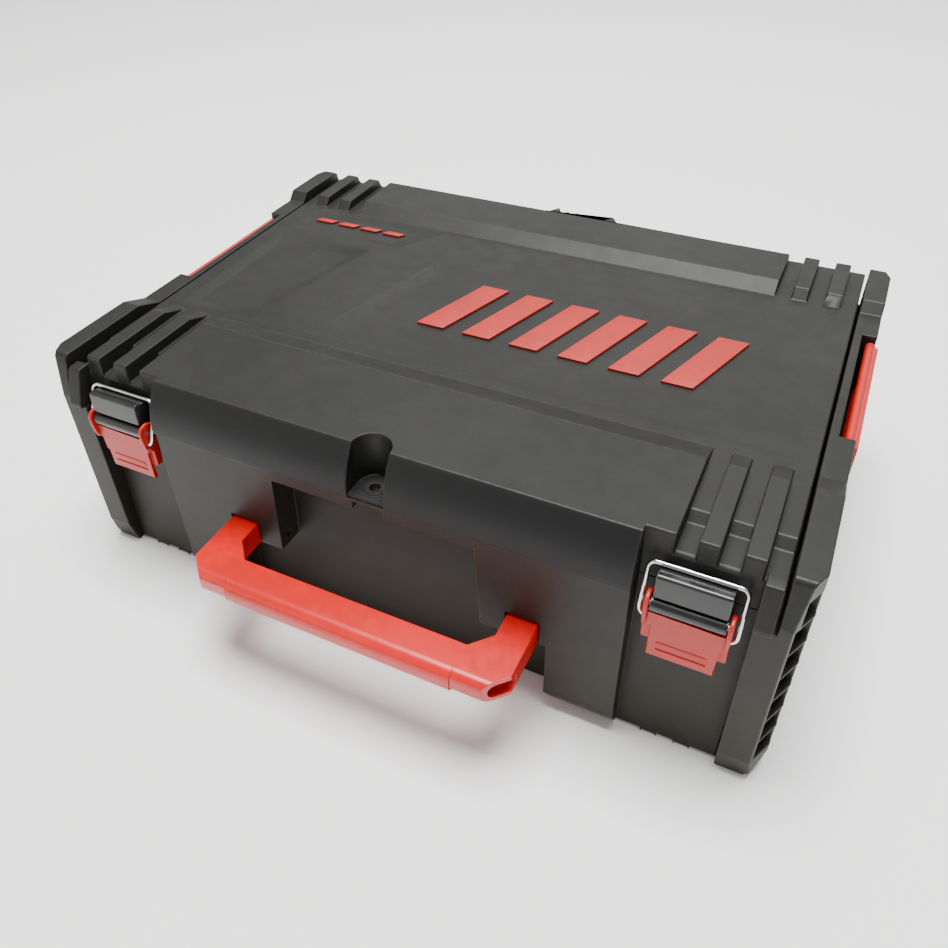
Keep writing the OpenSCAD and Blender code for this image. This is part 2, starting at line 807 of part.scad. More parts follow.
module latch_lever_at(side) {
  x = side * bay_x;
  tab_hw = lever_hw - 4.4;
  color(red)
    difference() {
      union() {
        for (s = [-1, 1]) {
          xa = x + (s < 0 ? -lever_hw : arm_face);
          along_x(xa, xa + lever_arm_t, arm_profile());
        }
        intersection() {
          along_x(x - lever_hw, x + lever_hw, plate_profile());
          box(x - lever_hw, x + lever_hw, -case_d, 0, lever_z - 14.5, lever_z + 5);
        }
        along_x(x - tab_hw, x + tab_hw, plate_profile());
        // webs that carry the lower flanges
        for (s = [-1, 1])
          box(x + (s < 0 ? -lever_hw : tab_hw - 1), x + (s < 0 ? 1 - tab_hw : lever_hw),
              lever_y + 0.2, lever_y + 2, lever_z - 27.5, lever_z - 14);
      }
      rod(x - lever_w, x + lever_w, latch_pin_d, lever_y, lever_z);
      for (s = [-1, 1])
        rod(x + (s < 0 ? -lever_hw - cut : arm_face - 0.2), x + (s < 0 ? 0.2 - arm_face : lever_hw + cut),
            wire_d + 2 * pin_play, bail_y, bail_z);
      // the plate clears the black bar
      rod(x - bar_l / 2 - 0.4, x + bar_l / 2 + 0.4, bar_dia + 0.8, lever_y, lever_z);
    }
}

module latch_lever_left() { latch_lever_at(-1); }
module latch_lever_right() { latch_lever_at(1); }

module latch_pin_at(side) {
  color(steel)
    rod(side * bay_x - lever_hw, side * bay_x + lever_hw, latch_pin_d, lever_y, lever_z);
}

module latch_pin_left() { latch_pin_at(-1); }
module latch_pin_right() { latch_pin_at(1); }

// ---- bails ----

// A quarter bend of the wire in the X and Y plane, from +X round to +Y
module wire_bend(r) {
  rotate_extrude(angle = 90) translate([r, 0]) circle(d = wire_d, $fn = 24);
}

module wire_run(from, length, turn) {
  translate(from) rotate(turn) cylinder(h = length, d = wire_d, $fn = 24);
}

module bail_flat() {
  r_top = 4;
  r_low = 3;
  hw = bail_w / 2;
  for (s = [0, 1])
    mirror([s, 0, 0]) {
      wire_run([hw, r_low, 0], bail_l - r_low - r_top, [-90, 0, 0]);
      translate([hw - r_top, bail_l - r_top, 0]) wire_bend(r_top);
      translate([hw - r_low, r_low, 0]) rotate([0, 0, -90]) wire_bend(r_low);
      wire_run([arm_face + 0.3, 0, 0], hw - r_low - arm_face - 0.3, [0, 90, 0]);
      wire_run([-cut / 4, bail_l, 0], hw - r_top + cut / 4, [0, 90, 0]);
    }
}

module bail_at(side) {
  color(steel)
    translate([side * bay_x, bail_y, bail_z])
      rotate([90 - bail_lean, 0, 0])
        bail_flat();
}

module bail_left() { bail_at(-1); }
module bail_right() { bail_at(1); }

// ---- handle ----

// A bar with rounded long edges, along X
module round_bar(l, y0, y1, z0, z1, r) {
  rotate([90, 0, 90])
    linear_extrude(l, center = true)
      round_section(y0, y1, z0, z1, r);
}

module round_section(y0, y1, z0, z1, r) {
  translate([y0 + r, z0]) square([y1 - y0 - 2 * r, z1 - z0]);
  translate([y0, z0 + r]) square([y1 - y0, z1 - z0 - 2 * r]);
  for (y = [y0 + r, y1 - r], z = [z0 + r, z1 - r])
    translate([y, z]) circle(r);
}

bar_z0 = handle_z - handle_t / 2;
bar_z1 = handle_z + handle_t / 2;

// Half of the handle's outline in plan: a bent arm and half of the bar
function handle_half() = [
  [0, bar_y], [handle_hw - 12.5, bar_y], [handle_hw, bar_y + 12.8], [handle_hw, pivot_y],
  [arm_in, pivot_y], [arm_in, bar_y + bar_d + 12.5], [arm_in - 11.5, bar_y + bar_d], [0, bar_y + bar_d]
];

module handle_frame() {
  color(red)
    difference() {
      union() {
        intersection() {
          translate([0, 0, bar_z0])
            linear_extrude(handle_t)
              union() {
                polygon(handle_half());
                mirror([1, 0]) polygon(handle_half());
              }
          // rounds the long front edges of the bar
          union() {
            round_bar(handle_w + 2, bar_y, bar_y + bar_d + 20, bar_z0, bar_z1, 6);
            box(-handle_w, handle_w, bar_y + bar_d, 0, bar_z0 - cut, bar_z1 + cut);
          }
        }
        for (s = [-1, 1])
          rod(s * (arm_in + arm_w / 2) - arm_w / 2, s * (arm_in + arm_w / 2) + arm_w / 2,
              handle_t, pivot_y, handle_z);
      }
      // open ends of the hollow bar
      for (s = [-1, 1])
        translate([s * (handle_hw - 3), 0, 0])
          round_bar(30, bar_y + 3, bar_y + bar_d - 3, bar_z0 + 3, bar_z1 - 3, 4);
      rod(-handle_hw - cut, handle_hw + cut, handle_pin_d + 2 * pin_play, pivot_y, handle_z);
    }
}

// Raised grip: a sleeve over the front and underside of the bar
module handle_grip() {
  color(red)
    difference() {
      round_bar(grip_l, bar_y - grip_proud, bar_y + bar_d, bar_z0 - grip_proud, bar_z1, 6 + grip_proud);
      round_bar(grip_l + 2, bar_y, bar_y + bar_d + 20, bar_z0, bar_z1, 6);
      box(-grip_l, grip_l, bar_y + 12, 0, bar_z0, bar_z1 + cut);
    }
}

module handle_pin_at(side) {
  x = side * (arm_in + arm_w / 2);
  half = arm_w / 2 + 5;
  color(steel)
    rod(x - half, x + half, handle_pin_d, pivot_y, handle_z);
}

module handle_pin_left() { handle_pin_at(-1); }
module handle_pin_right() { handle_pin_at(1); }

// ---- stacking latches ----

module stack_pocket() {
  y0 = stack_y - stack_l / 2 - stack_room;
  y1 = stack_y + stack_l / 2 + stack_room;
  depth = 3.4 + stack_barrel_d / 2;
  box(stack_x - depth, case_w, y0, y1, stack_z - stack_h - stack_room, case_h * 2);
  rod_y(y0 - 4, y1 + 4, stack_pin_d, stack_x, stack_z);
}

module stack_latch() {
  y0 = stack_y - stack_l / 2;
  y1 = stack_y + stack_l / 2;
  x_out = case_w / 2 + stack_proud;
  difference() {
    union() {
      rod_y(y0, y1, stack_barrel_d, stack_x, stack_z);
      box(stack_x, x_out, y0, y1, stack_z - stack_h + 4, stack_z);
      // hooked edge that catches the case above
      box(stack_x - 2.4, x_out, y0, y1, stack_z - stack_h + 4, stack_z - stack_h + 8);
      // the rear part is a little thicker
      box(stack_x, x_out, y0 + 27, y1, stack_z - stack_h, stack_z - stack_h + 8);
    }
    rod_y(y0 - cut, y1 + cut, stack_pin_d + 2 * pin_play, stack_x, stack_z);
  }
}

module stack_latch_left() { color(red) mirror([1, 0, 0]) stack_latch(); }
module stack_latch_right() { color(red) stack_latch(); }

module stack_pin_at(side) {
  color(steel)
    rod_y(stack_y - stack_l / 2 - stack_room - 4, stack_y + stack_l / 2 + stack_room + 4,
          stack_pin_d, side * stack_x, stack_z);
}

module stack_pin_left() { stack_pin_at(-1); }
module stack_pin_right() { stack_pin_at(1); }

// ---- hinge pins ----

module hinge_pin_at(side) {
  half = 2.5 * knuckle_l;
  color(steel)
    rod(side * hinge_x - half, side * hinge_x + half, hinge_pin_d, hinge_y, part_z);
}

module hinge_pin_left() { hinge_pin_at(-1); }
module hinge_pin_right() { hinge_pin_at(1); }

base_shell();
bumper_left();
bumper_right();
bumper_screws();
hinge_pin_left();
hinge_pin_right();
latch_bracket_left();
latch_bracket_right();
bracket_screws();
handle_pin_left();
handle_pin_right();
stack_pin_left();
stack_pin_right();
lid_shell();
keeper_left();
keeper_right();
keeper_screws();
lid_stripes();
lid_dashes();
handle_frame();
handle_grip();
latch_lever_left();
latch_pin_left();
bail_left();
latch_lever_right();
latch_pin_right();
bail_right();
stack_latch_left();
stack_latch_right();
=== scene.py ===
import math
import bmesh
import bpy
from mathutils import Matrix, Vector


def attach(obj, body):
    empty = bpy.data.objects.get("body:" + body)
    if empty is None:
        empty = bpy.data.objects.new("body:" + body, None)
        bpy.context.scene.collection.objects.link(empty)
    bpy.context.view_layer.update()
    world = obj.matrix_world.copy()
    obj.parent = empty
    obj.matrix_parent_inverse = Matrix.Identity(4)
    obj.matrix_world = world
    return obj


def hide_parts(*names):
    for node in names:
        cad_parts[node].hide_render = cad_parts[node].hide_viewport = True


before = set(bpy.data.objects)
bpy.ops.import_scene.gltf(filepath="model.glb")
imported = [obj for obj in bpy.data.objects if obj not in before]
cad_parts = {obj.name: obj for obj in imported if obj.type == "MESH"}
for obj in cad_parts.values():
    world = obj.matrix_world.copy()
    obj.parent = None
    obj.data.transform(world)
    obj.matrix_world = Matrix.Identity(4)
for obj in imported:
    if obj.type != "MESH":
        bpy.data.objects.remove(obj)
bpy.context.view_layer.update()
print("stage: frame loaded")


# Shader and geometry trees, written as sums.

class Wire:
    # one output of a node tree: numbers on it can be added, multiplied and so on
    def __init__(self, tree, socket=None):
        self.tree = tree
        self.socket = socket

    def node(self, kind, settings=None, values=None, output=0):
        made = self.tree.nodes.new(kind)
        for name, value in (settings or {}).items():
            setattr(made, name, value)
        for key, value in (values or {}).items():
            if isinstance(value, Wire):
                self.tree.links.new(value.socket, made.inputs[key])
            else:
                made.inputs[key].default_value = value
        return Wire(self.tree, made.outputs[output])

    def calc(self, operation, first, second=0.0):
        return self.node("ShaderNodeMath", {"operation": operation}, {0: first, 1: second})

    def __add__(self, other):
        return self.calc("ADD", self, other)

    def __sub__(self, other):
        return self.calc("SUBTRACT", self, other)

    def __rsub__(self, other):
        return self.calc("SUBTRACT", other, self)

    def __mul__(self, other):
        return self.calc("MULTIPLY", self, other)

    __radd__ = __add__
    __rmul__ = __mul__

    def band(self, low, high):  # 0 below low, 1 above high, smooth between
        settings = {"interpolation_type": "SMOOTHSTEP"}
        return self.node("ShaderNodeMapRange", settings, {0: self, 1: low, 2: high, 3: 0.0, 4: 1.0})

    def mix(self, first, second):  # two colours, with this number as the factor
        return self.node("ShaderNodeMix", {"data_type": "RGBA"}, {0: self, 6: first, 7: second}, 2)


def newMaterial(name, constants):
    material = bpy.data.materials.new(name)
    material.use_nodes = True
    tree = material.node_tree
    tree.nodes.clear()
    shader = tree.nodes.new("ShaderNodeBsdfPrincipled")
    output = tree.nodes.new("ShaderNodeOutputMaterial")
    tree.links.new(shader.outputs[0], output.inputs[0])
    for key, value in constants.items():
        shader.inputs[key].default_value = value
    return material, Wire(tree), shader


def feed(shader, key, wire):
    wire.tree.links.new(wire.socket, shader.inputs[key])


def noise(start, place, scale, detail=2.0, rough=0.5):
    values = {"Vector": place, "Scale": scale, "Detail": detail, "Roughness": rough}
    return start.node("ShaderNodeTexNoise", None, values, "Fac")


def bumped(shader, height, depth, strength):
    values = {"Height": height, "Distance": depth, "Strength": strength}
    feed(shader, "Normal", height.node("ShaderNodeBump", None, values))


def newTree(name, inputs):
    # inputs: name -> socket type; a geometry comes in before them, and one goes out
    tree = bpy.data.node_groups.new(name, "GeometryNodeTree")
    face = tree.interface
    face.new_socket("Geometry", in_out="INPUT", socket_type="NodeSocketGeometry")
    for key, kind in inputs.items():
        face.new_socket(key, in_out="INPUT", socket_type=kind)
    face.new_socket("Geometry", in_out="OUTPUT", socket_type="NodeSocketGeometry")
    entry = tree.nodes.new("NodeGroupInput")
    start = Wire(tree)
    named = {socket.name: Wire(tree, socket) for socket in entry.outputs if socket.name}
    return tree, start, named


def endTree(tree, geometry, material):
    real = geometry.node("GeometryNodeRealizeInstances", None, {0: geometry})
    dressed = real.node("GeometryNodeSetMaterial", None, {"Geometry": real, "Material": material})
    leave = tree.nodes.new("NodeGroupOutput")
    tree.links.new(dressed.socket, leave.inputs[0])


def grown(name, tree, values, mesh=None):
    # runs a geometry tree on a mesh and keeps the result as a plain mesh
    holder = bpy.data.objects.new(name, mesh or bpy.data.meshes.new(name))
    bpy.context.scene.collection.objects.link(holder)
    modifier = holder.modifiers.new("grow", "NODES")
    modifier.node_group = tree
    sockets = {s.name: s.identifier for s in tree.interface.items_tree if s.in_out == "INPUT"}
    for key, value in values.items():
        modifier[sockets[key]] = value
    return settled(holder)


# Meshes: copies of the CAD parts with their edges rounded.

def newObject(name, mesh):
    made = bpy.data.objects.new(name, mesh)
    bpy.context.scene.collection.objects.link(made)
    return made


def settled(piece):
    # replaces the mesh by what its modifiers make of it
    bpy.context.view_layer.update()
    graph = bpy.context.evaluated_depsgraph_get()
    mesh = bpy.data.meshes.new_from_object(piece.evaluated_get(graph), depsgraph=graph)
    piece.modifiers.clear()
    piece.data = mesh
    mesh.name = piece.name
    return piece


smallPartAngle = 50


def smoothed(piece, degrees=35):
    piece.data.polygons.foreach_set("use_smooth", [True] * len(piece.data.polygons))
    piece.data.set_sharp_from_angle(angle=math.radians(degrees))
    return piece


meshLook = {
    "merge": 1.5e-5, "collapse": 1e-6, "flat": math.radians(0.3),  # what the CAD mesh is cleaned with
    "leastBend": math.radians(5), "mostStep": math.radians(50),  # a real edge, a step of a round face
    "alike": 0.25,  # how near two bends are on a round face
    "room": 0.42, "leastRoom": 0.22,  # share of the neighbour that a rounding may take
    "level": 1e-7, "segments": 3,
}


def mergedCopy(node, name, width):
    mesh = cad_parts[node].data.copy()
    mesh.materials.clear()
    work = bmesh.new()
    work.from_mesh(mesh)
    bmesh.ops.remove_doubles(work, verts=work.verts, dist=meshLook["merge"])
    bmesh.ops.dissolve_degenerate(work, dist=meshLook["collapse"], edges=work.edges)
    bmesh.ops.dissolve_limit(work, angle_limit=meshLook["flat"], verts=work.verts, edges=work.edges)
    crest = work.edges.layers.float.new("bevel_weight_edge")
    for edge in work.edges:
        edge[crest] = roomAt(edge, width) if isCrest(edge) else 0.0
    work.to_mesh(mesh)
    work.free()
    for attribute in [a for a in mesh.attributes if a.name.startswith("custom_normal")]:
        mesh.attributes.remove(attribute)
    return newObject(name, mesh)


def roomAt(edge, width):
    # 1 where the full radius fits beside the neighbours, less at small steps, 0 at the least
    beside = [e.calc_length() for v in edge.verts for e in v.link_edges if e is not edge]
    room = meshLook["room"] * min(beside) / width
    return min(1.0, room) if room > meshLook["leastRoom"] else 0.0


def bendOf(edge):
    return edge.calc_face_angle_signed(0.0) if len(edge.link_faces) == 2 else 0.0


def isCrest(edge):
    # a real edge, and not one of the steps that a round face is drawn in
    bend = bendOf(edge)
    if abs(bend) < meshLook["leastBend"]:
        return False
    for face in edge.link_faces:
        if len(face.verts) != 4 or abs(bend) > meshLook["mostStep"]:
            continue
        facing = [e for e in face.edges if not set(e.verts) & set(edge.verts)]
        if facing and abs(bendOf(facing[0]) - bend) < meshLook["alike"] * abs(bend):
            return False
    return True


def markCrestsAndHollows(piece):
    # 1 on the crest of a rounded outer edge, 0 on the faces beside it, as a mask for a painted highlight;
    # inner corners get a second mask, for painted shade
    mesh = piece.data
    onFlat = [False] * len(mesh.vertices)
    for face in mesh.polygons:
        if face.material_index == 0:
            for corner in face.vertices:
                onFlat[corner] = True
        face.material_index = 0
    sums = [Vector() for _ in mesh.vertices]
    counts = [0] * len(mesh.vertices)
    for edge in mesh.edges:
        a, b = edge.vertices
        sums[a] += mesh.vertices[b].co
        sums[b] += mesh.vertices[a].co
        counts[a] += 1
        counts[b] += 1
    wear = []
    hollow = []
    for i, vertex in enumerate(mesh.vertices):
        rise = 0.0
        if counts[i] and not onFlat[i]:
            rise = (sums[i] / counts[i] - vertex.co).dot(vertex.normal)
        wear.append(1.0 if rise < -meshLook["level"] else 0.0)
        hollow.append(1.0 if rise > meshLook["level"] else 0.0)
    for key, values in (("wear", wear), ("hollow", hollow)):
        mesh.attributes.new(key, "FLOAT", "POINT").data.foreach_set("value", values)


def softened(node, name, width, material, body):
    # the CAD part with its edges rounded as a moulding's are
    piece = mergedCopy(node, name, width)
    piece.data.materials.append(material)
    piece.data.materials.append(material)
    piece.data.polygons.foreach_set("use_smooth", [True] * len(piece.data.polygons))
    bevel = piece.modifiers.new("round", "BEVEL")
    bevel.width = width
    bevel.segments = meshLook["segments"]
    bevel.limit_method = "WEIGHT"
    bevel.use_clamp_overlap = False
    bevel.material = 1
    weighted = piece.modifiers.new("flat", "WEIGHTED_NORMAL")
    weighted.keep_sharp = True
    settled(piece)
    markCrestsAndHollows(piece)
    piece.data.materials.pop(index=1)
    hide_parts(node)
    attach(piece, body)
    return piece


# Finishes.

charcoalLook = {
    "dark": (0.0095, 0.0094, 0.0080, 1), "light": (0.0150, 0.0149, 0.0130, 1),
    # edge colour: a painted highlight for rounded crests
    "edge": (0.045, 0.044, 0.039, 1),
    # crown colour: painted shade for the lid's front crown; base colour: painted warm light for the base
    # below the seam
    "crownShade": (0.0042, 0.0044, 0.0050, 1), "base": (0.0150, 0.0105, 0.0052, 1),
    "grainSize": 1500, "grainDepth": 0.00010, "rough": 0.47,
    "crownSide": (0.153, 0.155), "crownFront": (-0.1645, -0.1615), "crownFoot": (0.1272, 0.1278),
    # the base colour's bands: painted warm light on the base below the seam, stronger towards the bottom
    "baseFade": (0.040, 0.1268), "baseTop": (0.1262, 0.1272),
}


def mouldedCharcoal(name, look):
    material, start, shader = newMaterial(name, {"Specular IOR Level": 0.28, "IOR": 1.49})
    place = start.node("ShaderNodeTexCoord", None, None, "Object")
    cloudy = noise(start, place, 9, 3)
    patchy = noise(start, place, 70, 4, 0.6)
    grain = noise(start, place, look["grainSize"], 3, 0.6)
    pebble = start.node("ShaderNodeTexVoronoi", {"feature": "SMOOTH_F1"},
                        {"Vector": place, "Scale": look["grainSize"] * 0.55, "Smoothness": 0.6},
                        "Distance")
    highlightBreakup = noise(start, place, 320, 4, 0.7)
    # mask of rounded crests, used for a painted highlight
    wear = start.node("ShaderNodeAttribute", {"attribute_name": "wear"}, None, "Fac")
    tone = (cloudy * 0.5 + patchy * 0.35 + grain * 0.15).band(0.36, 0.62)
    colour = tone.mix(look["dark"], look["light"])
    across = start.node("ShaderNodeSeparateXYZ", None, {0: place}, "X")
    depth = start.node("ShaderNodeSeparateXYZ", None, {0: place}, "Y")
    height = start.node("ShaderNodeSeparateXYZ", None, {0: place}, "Z")
    # painted shade: the lid's front crown, between its sides and above its foot, darkened to a cool dark
    # tone
    middle = 1 - start.calc("ABSOLUTE", across).band(*look["crownSide"])
    crownShade = (1 - depth.band(*look["crownFront"])) * height.band(*look["crownFoot"]) * middle
    colour = (crownShade * 0.85).mix(colour, look["crownShade"])
    # painted warm light: the base below the seam tinted warm brown, more strongly towards the bottom
    low = (1 - height.band(*look["baseFade"])) * 0.45 + (1 - height.band(*look["baseTop"])) * 0.35
    colour = low.mix(colour, look["base"])
    # painted highlight: crests lighter in noisy patches, standing in for light caught on the rounded
    # edges; the same patches are made a little glossier
    paintedHighlight = wear * highlightBreakup.band(0.35, 0.75) * 0.55
    colour = paintedHighlight.mix(colour, look["edge"])
    feed(shader, "Base Color", colour)
    feed(shader, "Roughness", look["rough"] - patchy * 0.10 + grain * 0.12 - paintedHighlight * 0.12)
    bumped(shader, grain * 0.55 + pebble * 0.6, look["grainDepth"], 0.55)
    return material


def glossyPlastic(name, look):
    # smooth moulded parts: handle, levers, keepers, brackets
    constants = {"IOR": 1.50, "Coat Roughness": 0.12, "Coat Weight": look["coat"]}
    material, start, shader = newMaterial(name, constants)
    place = start.node("ShaderNodeTexCoord", None, None, "Object")
    cloudy = noise(start, place, 26, 3)
    flow = noise(start, place, 210, 4, 0.65)
    grain = noise(start, place, 2600, 2)
    # masks of rounded crests and inner corners, used for a painted highlight and a painted shade
    wear = start.node("ShaderNodeAttribute", {"attribute_name": "wear"}, None, "Fac")
    hollow = start.node("ShaderNodeAttribute", {"attribute_name": "hollow"}, None, "Fac")
    colour = (cloudy * 0.6 + flow * 0.4).band(0.38, 0.62).mix(look["dark"], look["light"])
    # painted highlight: crests lighter in noisy patches
    colour = (wear * flow.band(0.3, 0.7) * 0.6).mix(colour, look["edge"])
    # painted shade: inner corners darkened towards the dark tone
    colour = (hollow * 0.5).mix(colour, look["dark"])
    feed(shader, "Base Color", colour)
    feed(shader, "Roughness", look["rough"] + flow * 0.12 + grain * 0.05 - 0.08)
    bumped(shader, grain * 0.4 + flow * 0.6, look["grainDepth"], 0.35)
    return material


def brightMetal(name, look):
    material, start, shader = newMaterial(name, {"Metallic": 1.0})
    place = start.node("ShaderNodeTexCoord", None, None, "Object")
    cloudy = noise(start, place, 120, 4, 0.6)
    fine = noise(start, place, 1900, 3, 0.6)
    colour = (cloudy * 0.7 + fine * 0.3).band(0.35, 0.65).mix(look["dark"], look["light"])
    feed(shader, "Base Color", colour)
    feed(shader, "Roughness", look["rough"] + cloudy * 0.10 + fine * 0.06)
    bumped(shader, fine, look["grainDepth"], 0.3)
    return material


charcoal = mouldedCharcoal("moulded_charcoal", charcoalLook)
# in each of these finishes the edge colour is a painted highlight for rounded crests
nylon = glossyPlastic("black_nylon", {
    "dark": (0.007, 0.007, 0.008, 1), "light": (0.012, 0.012, 0.012, 1),
    "edge": (0.05, 0.05, 0.05, 1),
    "rough": 0.30, "coat": 0.15, "grainDepth": 0.00004,
})
handleRed = glossyPlastic("red_handle", {
    "dark": (0.496, 0.0010, 0.0004, 1), "light": (0.592, 0.0018, 0.0006, 1),
    "edge": (0.680, 0.0088, 0.0040, 1),
    "rough": 0.30, "coat": 0.12, "grainDepth": 0.00003,
})
leverRed = glossyPlastic("red_lever", {
    "dark": (0.384, 0.0045, 0.0006, 1), "light": (0.464, 0.0067, 0.0008, 1),
    "edge": (0.576, 0.0175, 0.0040, 1),
    "rough": 0.40, "coat": 0.0, "grainDepth": 0.00004,
})
inlayRed = glossyPlastic("red_inlay", {
    "dark": (0.336, 0.0075, 0.0032, 1), "light": (0.400, 0.0100, 0.0044, 1),
    "edge": (0.496, 0.0225, 0.0100, 1),
    "rough": 0.46, "coat": 0.0, "grainDepth": 0.00004,
})
zinc = brightMetal("zinc_steel", {
    "dark": (0.40, 0.41, 0.42, 1), "light": (0.56, 0.57, 0.58, 1), "rough": 0.26, "grainDepth": 0.00003,
})
chrome = brightMetal("bright_wire", {
    "dark": (0.62, 0.63, 0.65, 1), "light": (0.78, 0.79, 0.80, 1), "rough": 0.10, "grainDepth": 0.00001,
})
print("stage: finishes made")


# Mouldings: each takes the place of its CAD part.

mouldings = [
    # CAD part, radius of its edges, finish, body, slot
    ("base_shell", 0.0008, charcoal, "base", "moulded_charcoal"),
    ("bumper_left", 0.0008, charcoal, "base", "moulded_charcoal"),
    ("bumper_right", 0.0008, charcoal, "base", "moulded_charcoal"),
    ("lid_shell", 0.0009, charcoal, "lid", "moulded_charcoal"),
    ("keeper_left", 0.0012, nylon, "lid", "black_nylon"),
    ("keeper_right", 0.0012, nylon, "lid", "black_nylon"),
    ("latch_bracket_left", 0.0005, nylon, "base", "black_nylon"),
    ("latch_bracket_right", 0.0005, nylon, "base", "black_nylon"),
    ("latch_lever_left", 0.0008, leverRed, "lever_left", "red_plastic"),
    ("latch_lever_right", 0.0008, leverRed, "lever_right", "red_plastic"),
    ("handle_frame", 0.0010, handleRed, "handle", "red_plastic"),
    ("handle_grip", 0.0005, handleRed, "handle", "red_plastic"),
    ("stack_latch_left", 0.0006, leverRed, "stack_left", "red_plastic"),
    ("stack_latch_right", 0.0006, leverRed, "stack_right", "red_plastic"),
]
for node, width, material, body, slot in mouldings:
    softened(node, node + "_moulded", width, material, body)
print("stage: mouldings rounded")


# Screws: one pattern, set on the CAD screws' places.

screwMerge = 3e-6


def islands(node):
    # lowest and highest corner of each separate solid of a CAD part
    work = bmesh.new()
    work.from_mesh(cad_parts[node].data)
    bmesh.ops.remove_doubles(work, verts=work.verts, dist=screwMerge)
    seen = set()
    found = []
    for first in work.verts:
        if first in seen:
            continue
        seen.add(first)
        group = [first]
        for vertex in group:
            for edge in vertex.link_edges:
                other = edge.other_vert(vertex)
                if other not in seen:
                    seen.add(other)
                    group.append(other)
        low = Vector([min(v.co[i] for v in group) for i in range(3)])
        high = Vector([max(v.co[i] for v in group) for i in range(3)])
        found.append((low, high))
    work.free()
    return found


screwLook = {"headRadius": 0.0030, "headHeight": 0.0016, "shaftRadius": 0.0015, "length": 0.0086,
             "socket": 0.0011}


def ringOf(work, radius, height, corners, sides):
    ring = []
    for i in range(corners):
        angle = 2 * math.pi * i / corners
        reach = radius
        if sides:  # a hexagon drawn with as many points as the circle
            part = (angle + math.pi / sides) % (2 * math.pi / sides) - math.pi / sides
            reach = radius / math.cos(part)
        ring.append(work.verts.new((reach * math.cos(angle), reach * math.sin(angle), height)))
    return ring


def lathed(name, rings, corners=24):
    # rings: radius, height, sides (0 for round); the ends are closed
    work = bmesh.new()
    loops = [ringOf(work, r, z, corners, sides) for r, z, sides in rings]
    for low, high in zip(loops, loops[1:]):
        for i in range(corners):
            j = (i + 1) % corners
            work.faces.new((low[i], low[j], high[j], high[i]))
    work.faces.new(list(reversed(loops[0])))
    work.faces.new(loops[-1])
    bmesh.ops.recalc_face_normals(work, faces=work.faces)
    mesh = bpy.data.meshes.new(name)
    work.to_mesh(mesh)
    work.free()
    return newObject(name, mesh)


def screwPattern(look):
    # stands on z = 0, the under side of its head, with the shaft below
    head, rise, shaft = look["headRadius"], look["headHeight"], look["shaftRadius"]
    tip = look["headHeight"] - look["length"]
    socket = look["socket"]
    return lathed("screwPattern", [
        (shaft * 0.3, tip, 0), (shaft * 0.85, tip + 0.0008, 0), (shaft, tip + 0.0014, 0), (shaft, 0, 0),
        (head * 0.97, 0, 0), (head, rise * 0.15, 0), (head, rise * 0.5, 0), (head * 0.93, rise * 0.82, 0),
        (head * 0.78, rise * 0.97, 0), (head * 0.6, rise, 0),
        (socket * 1.12, rise, 6), (socket, rise * 0.9, 6),
        (socket * 0.98, rise * 0.35, 6), (socket * 0.3, rise * 0.2, 6),
    ])


def screwTree(material):
    tree, start, named = newTree("screws", {"Pattern": "NodeSocketObject"})
    pattern = start.node("GeometryNodeObjectInfo", None, {"Object": named["Pattern"]}, "Geometry")
    axis = start.node("GeometryNodeInputNamedAttribute", {"data_type": "FLOAT_VECTOR"}, {"Name": "axis"})
    turn = start.node("FunctionNodeAlignRotationToVector", {"axis": "Z"}, {"Vector": axis})
    placed = start.node("GeometryNodeInstanceOnPoints", None,
                        {"Points": named["Geometry"], "Instance": pattern, "Rotation": turn})
    endTree(tree, placed, material)
    return tree


screws = screwTree(zinc)
pattern = screwPattern(screwLook)
for node, body in (("bumper_screws", "base"), ("bracket_screws", "base"), ("keeper_screws", "lid")):
    spots = []
    axes = []
    for low, high in islands(node):
        size = high - low
        along = 0 if size.x > size.y else 1
        middle = (low + high) / 2
        inward = Vector((-math.copysign(1, middle.x), 0, 0)) if along == 0 else Vector((0, 1, 0))
        end = middle + inward * size[along] / 2
        spots.append(end - inward * screwLook["headHeight"])
        axes.append(inward)
    mesh = bpy.data.meshes.new(node + "_spots")
    mesh.from_pydata([tuple(s) for s in spots], [], [])
    turns = mesh.attributes.new("axis", "FLOAT_VECTOR", "POINT")
    turns.data.foreach_set("vector", [c for a in axes for c in a])
    piece = smoothed(grown(node + "_panhead", screws, {"Pattern": pattern}, mesh))
    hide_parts(node)
    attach(piece, body)
bpy.data.objects.remove(pattern)
print("stage: screws set")


# Bails: round wire along a bent path.

bailLook = {"wire": 0.0025, "width": 0.0493, "length": 0.0302, "lean": 20.1, "turn": 0.0040,
            "endInset": 0.0200, "x": 0.1844, "y": -0.1738, "z": 0.115, "turnPoints": 10, "round": 20}


def bailTree(material, look):
    tree, start, named = newTree("bails", {"Wire": "NodeSocketFloat", "Turn": "NodeSocketFloat"})
    path = start.node("GeometryNodeMeshToCurve", None, {"Mesh": named["Geometry"]})
    bent = start.node("GeometryNodeFilletCurve", {"mode": "POLY"},
                      {"Curve": path, "Count": look["turnPoints"], "Radius": named["Turn"],
                       "Limit Radius": True})
    section = start.node("GeometryNodeCurvePrimitiveCircle", None,
                         {"Resolution": look["round"], "Radius": named["Wire"] * 0.5})
    wire = start.node("GeometryNodeCurveToMesh", None,
                      {"Curve": bent, "Profile Curve": section, "Fill Caps": True})
    endTree(tree, wire, material)
    return tree


def bailPath(side, look):
    # the wire's corners, from one inturned end to the other
    half, long, inset = look["width"] / 2, look["length"], look["endInset"]
    flat = [(-inset, 0), (-half, 0), (-half, long), (half, long), (half, 0), (inset, 0)]
    lean = math.radians(90 - look["lean"])
    middle, depth, height = side * look["x"], look["y"], look["z"]
    return [(middle + x, depth + d * math.cos(lean), height + d * math.sin(lean)) for x, d in flat]


